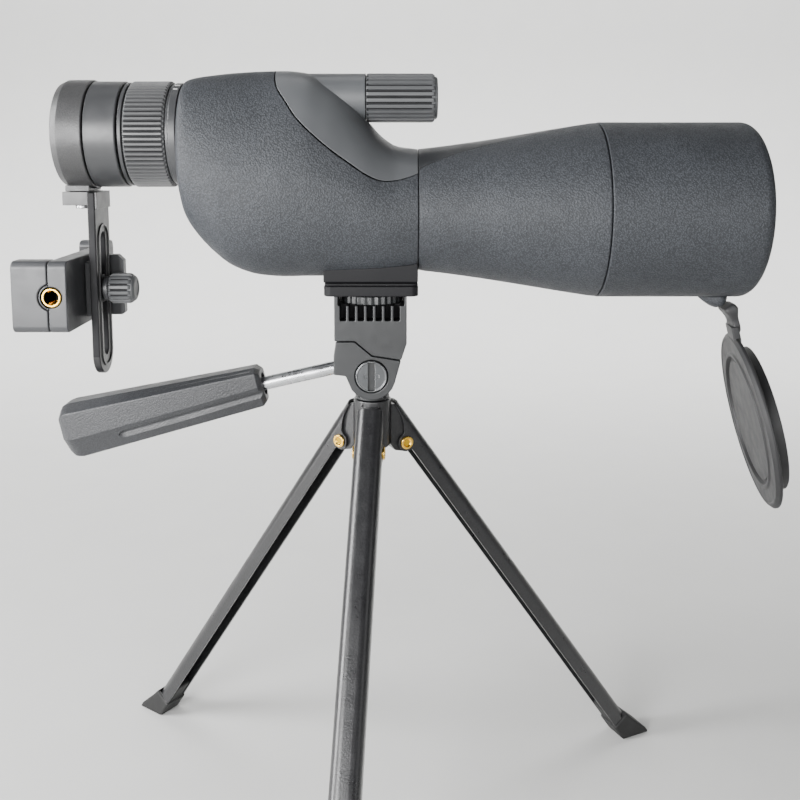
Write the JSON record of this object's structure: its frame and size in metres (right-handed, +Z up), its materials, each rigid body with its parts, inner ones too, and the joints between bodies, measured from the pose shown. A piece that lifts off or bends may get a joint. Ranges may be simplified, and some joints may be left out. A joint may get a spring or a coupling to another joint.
{
  "type": "spotting scope",
  "caption": "Straight spotting scope on a small folding table tripod with a pan and tilt handle, a hanging lens cap and a phone clamp on the eyepiece.",
  "frame": {"origin": "on the floor under the centre of the whole object's box", "axes": "+Z up; +X forward along the objective's axis; +Y to the left, so the scope is seen from its right side when looking along +Y"},
  "size_m": [0.3286, 0.2508, 0.3399],
  "materials": {
    "armour": "matte",
    "smooth_shell": "satin",
    "matte_ring": "satin",
    "inner_black": "matte",
    "black_plastic": "satin",
    "painted_sheet": "satin",
    "soft_rubber": "matte",
    "coated_glass": "polished",
    "bright_steel": "satin",
    "brass": "satin",
    "anodised": "satin",
    "grip_plastic": "matte"
  },
  "bodies": {
    "hub": {"tripod_hub": "painted_sheet", "leg_rivet_1": "brass", "leg_rivet_2": "brass", "leg_rivet_3": "brass"},
    "front_leg": {"leg_1": "painted_sheet", "foot_1": "soft_rubber"},
    "left_leg": {"leg_2": "painted_sheet", "foot_2": "soft_rubber"},
    "right_leg": {"leg_3": "painted_sheet", "foot_3": "soft_rubber"},
    "column": {"pan_column": "painted_sheet"},
    "head": {"head_block": "black_plastic", "tilt_housing": "black_plastic", "tilt_pivot_bolt": "matte_ring", "tilt_pivot_nut": "bright_steel", "platform_plate": "painted_sheet", "platform_pad": "soft_rubber"},
    "handle": {"handle_rod": "bright_steel", "handle_grip": "grip_plastic"},
    "mount_wheel": {"camera_screw": "matte_ring"},
    "scope": {"tripod_foot": "armour", "foot_bush": "brass", "prism_housing": "armour", "saddle_cover": "smooth_shell", "barrel_cone": "armour", "barrel_blade": "smooth_shell", "objective_hood": "armour", "objective_cell": "inner_black", "objective_lens": "coated_glass", "lens_retaining_ring": "inner_black", "prism_plate": "anodised", "prism_1": "coated_glass", "prism_2": "coated_glass", "scale_ring": "smooth_shell", "eyepiece_barrel": "matte_ring", "eye_lens": "coated_glass", "strap_anchor": "soft_rubber"},
    "focus_wheel": {"focus_knob": "soft_rubber", "focus_shaft": "bright_steel"},
    "focus_slider": {"focus_carriage": "anodised", "focus_lens": "coated_glass"},
    "zoom_collar": {"zoom_ring": "soft_rubber", "zoom_cam_sleeve": "brass"},
    "zoom_group": {"zoom_cell": "anodised", "zoom_lens": "coated_glass"},
    "eye_cup": {"eyecup": "soft_rubber"},
    "adapter": {"adapter_collar": "matte_ring", "adapter_arm": "painted_sheet", "arm_screw": "bright_steel"},
    "phone_clamp": {"slide_block": "black_plastic", "clamp_base": "black_plastic", "near_jaw": "black_plastic", "near_pad": "soft_rubber", "brass_insert": "brass", "thumb_washer": "black_plastic"},
    "clamp_jaw": {"far_jaw": "black_plastic", "far_pad": "soft_rubber"},
    "clamp_thumb": {"thumb_screw": "matte_ring"},
    "strap": {"cap_strap": "soft_rubber"},
    "cap": {"lens_cap": "soft_rubber"}
  },
  "joints": [
    {"name": "front_leg_fold", "type": "hinge", "parent": "hub", "child": "front_leg", "pos_m": [-0.01909, 0.01675, 0.1771], "axis": [0.9964, -0.0847, 0], "range_deg": [0, 35.4]},
    {"name": "left_leg_fold", "type": "hinge", "parent": "hub", "child": "left_leg", "pos_m": [-0.02939, 0.0387, 0.1771], "axis": [-0.5715, -0.8206, 0], "range_deg": [0, 35.4]},
    {"name": "right_leg_fold", "type": "hinge", "parent": "hub", "child": "right_leg", "pos_m": [-0.00523, 0.03665, 0.1771], "axis": [-0.4248, 0.9053, 0], "range_deg": [0, 35.4]},
    {"name": "pan", "type": "hinge", "parent": "hub", "child": "column", "pos_m": [-0.0179, 0.0307, 0.19], "axis": [0, 0, 1], "continuous": true},
    {"name": "tilt", "type": "hinge", "parent": "column", "child": "head", "pos_m": [-0.0179, 0.0307, 0.2102], "axis": [0, 1, 0], "range_deg": [-25, 30]},
    {"name": "handle_twist", "type": "hinge", "parent": "head", "child": "handle", "pos_m": [-0.0179, 0.0307, 0.2151], "axis": [-0.9748, 0, -0.2233], "continuous": true},
    {"name": "mount_wheel_turn", "type": "hinge", "parent": "head", "child": "mount_wheel", "pos_m": [-0.0179, 0.0307, 0.243], "axis": [0, 0, 1], "continuous": true},
    {"name": "scope_swivel", "type": "hinge", "parent": "head", "child": "scope", "pos_m": [-0.0179, 0.0307, 0.251], "axis": [0, 0, 1], "range_deg": [-30, 30]},
    {"name": "focus_turn", "type": "hinge", "parent": "scope", "child": "focus_wheel", "pos_m": [-0.0057, 0.0307, 0.3286], "axis": [1, 0, 0], "range_deg": [-270, 270]},
    {"name": "focus_travel", "type": "slide", "parent": "scope", "child": "focus_slider", "axis": [1, 0, 0], "range_m": [-0.0035, 0.0035]},
    {"name": "zoom_turn", "type": "hinge", "parent": "scope", "child": "zoom_collar", "pos_m": [-0.11, 0.0307, 0.3132], "axis": [1, 0, 0], "range_deg": [0, 100]},
    {"name": "zoom_travel", "type": "slide", "parent": "scope", "child": "zoom_group", "axis": [1, 0, 0], "range_m": [0, 0.006]},
    {"name": "eyecup_travel", "type": "slide", "parent": "scope", "child": "eye_cup", "axis": [-1, 0, 0], "range_m": [0, 0.005]},
    {"name": "adapter_turn", "type": "hinge", "parent": "eye_cup", "child": "adapter", "pos_m": [-0.13, 0.0307, 0.3132], "axis": [1, 0, 0], "range_deg": [-15, 15]},
    {"name": "clamp_height", "type": "slide", "parent": "adapter", "child": "phone_clamp", "axis": [0, 0, 1], "range_m": [-0.012, 0.015]},
    {"name": "jaw_travel", "type": "slide", "parent": "phone_clamp", "child": "clamp_jaw", "axis": [0, 1, 0], "range_m": [0, 0.02], "stiffness_N_per_m": 80, "springref_m": -0.015},
    {"name": "thumb_turn", "type": "hinge", "parent": "phone_clamp", "child": "clamp_thumb", "pos_m": [-0.1268, 0.0307, 0.2467], "axis": [1, 0, 0], "continuous": true},
    {"name": "strap_swing", "type": "hinge", "parent": "scope", "child": "strap", "pos_m": [0.1375, 0.0307, 0.2386], "axis": [0, -1, 0], "range_deg": [0, 77.7]},
    {"name": "cap_swing", "type": "hinge", "parent": "strap", "child": "cap", "pos_m": [0.1396, 0.0307, 0.229], "axis": [-0.0634, -0.9972, 0.0397], "range_deg": [0, 88.9]}
  ],
  "couplings": [
    {"joint": "focus_travel", "follows": "focus_turn", "m_per_rad": 0.000743},
    {"joint": "zoom_travel", "follows": "zoom_turn", "m_per_rad": 0.003438},
    {"joint": "cap_swing", "follows": "strap_swing", "ratio": 1.1436}
  ]
}
